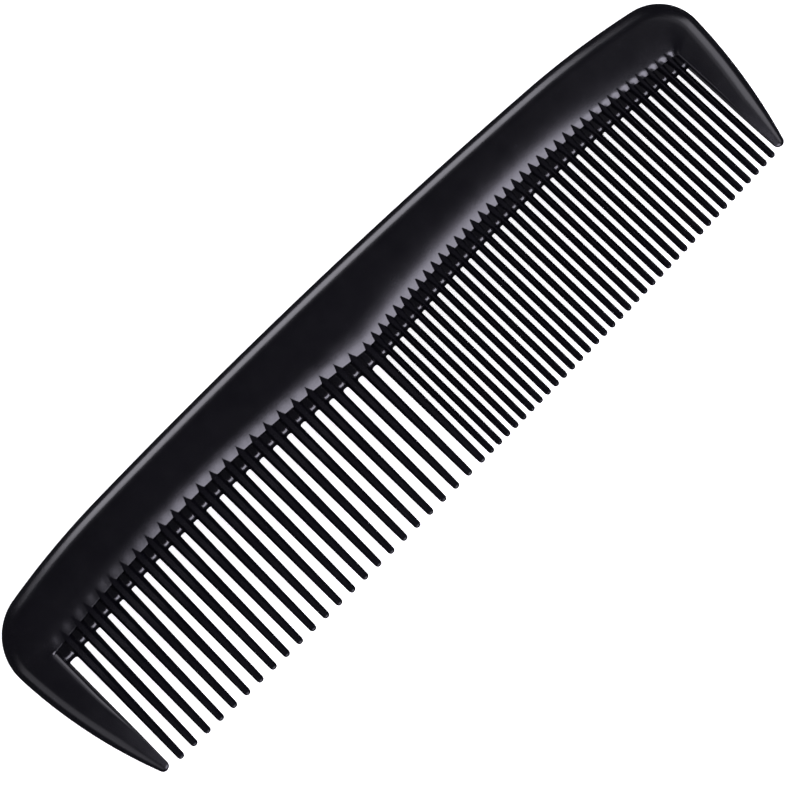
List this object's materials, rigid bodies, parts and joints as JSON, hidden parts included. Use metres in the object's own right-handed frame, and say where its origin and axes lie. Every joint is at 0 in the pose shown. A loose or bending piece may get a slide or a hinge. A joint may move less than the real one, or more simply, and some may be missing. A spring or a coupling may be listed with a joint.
{
  "type": "pocket comb",
  "caption": "Slim black pocket comb with a curved back, a coarse-toothed half, a fine-toothed half and a solid guard at each end.",
  "frame": {"origin": "under the middle of the comb's length and height, on the plane it rests on when it lies flat", "axes": "+X along the comb toward the fine-toothed end, +Y from the tooth tips toward the back, +Z out of the upper face"},
  "size_m": [0.127, 0.0336, 0.0042],
  "materials": {
    "black_plastic": "moulded black plastic, satin on the faces and polished on the rounded edges"
  },
  "bodies": {
    "root": {"spine": "black_plastic", "coarse_root_web": "black_plastic", "fine_root_web": "black_plastic", "coarse_teeth": "black_plastic", "fine_teeth": "black_plastic", "coarse_end_guard": "black_plastic", "fine_end_guard": "black_plastic"}
  },
  "joints": []
}
